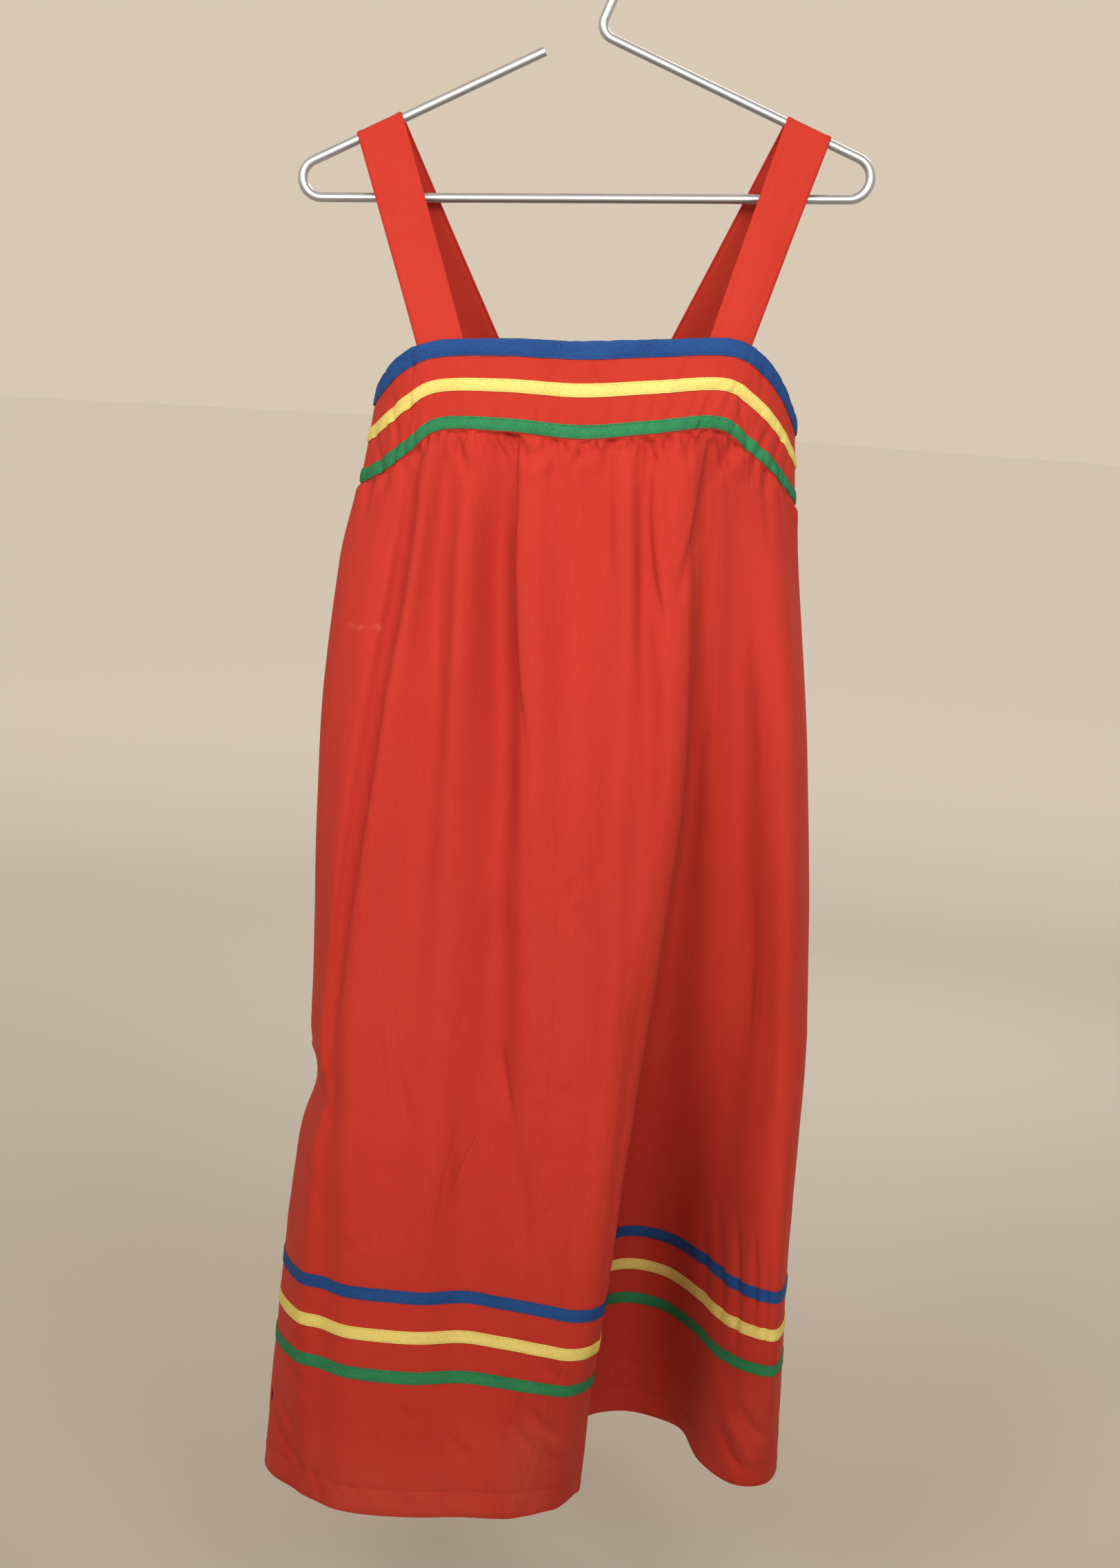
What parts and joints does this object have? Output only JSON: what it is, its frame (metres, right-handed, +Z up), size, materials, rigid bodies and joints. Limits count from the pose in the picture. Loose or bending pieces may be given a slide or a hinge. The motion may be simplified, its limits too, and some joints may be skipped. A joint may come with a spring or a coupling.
{
  "type": "sarafan dress on hanger",
  "caption": "Sleeveless banded dress with a gathered skirt and contrast tapes, hanging by its straps from a bent aluminium wire hanger.",
  "frame": {"origin": "the point inside the top of the hook that bears on a rail", "axes": "+Z up along the hanging garment, +X to the right as seen from the front, +Y to the back, so the front faces -Y"},
  "size_m": [0.4305, 0.2697, 1.2039],
  "materials": {
    "red_cotton": "plain-woven cotton, matt with a slight sheen",
    "blue_tape": "woven tape, matt",
    "yellow_tape": "woven tape, matt",
    "green_tape": "woven tape, matt",
    "wire": "satin"
  },
  "bodies": {
    "root": {"skirt_front": "red_cotton", "skirt_back": "red_cotton", "yoke_front": "red_cotton", "yoke_back": "red_cotton", "neck_binding": "blue_tape", "yoke_tape_yellow": "yellow_tape", "yoke_tape_green": "green_tape", "hem_tape_blue": "blue_tape", "hem_tape_yellow": "yellow_tape", "hem_tape_green": "green_tape", "strap_left": "red_cotton", "strap_right": "red_cotton", "hanger": "wire"}
  },
  "joints": []
}
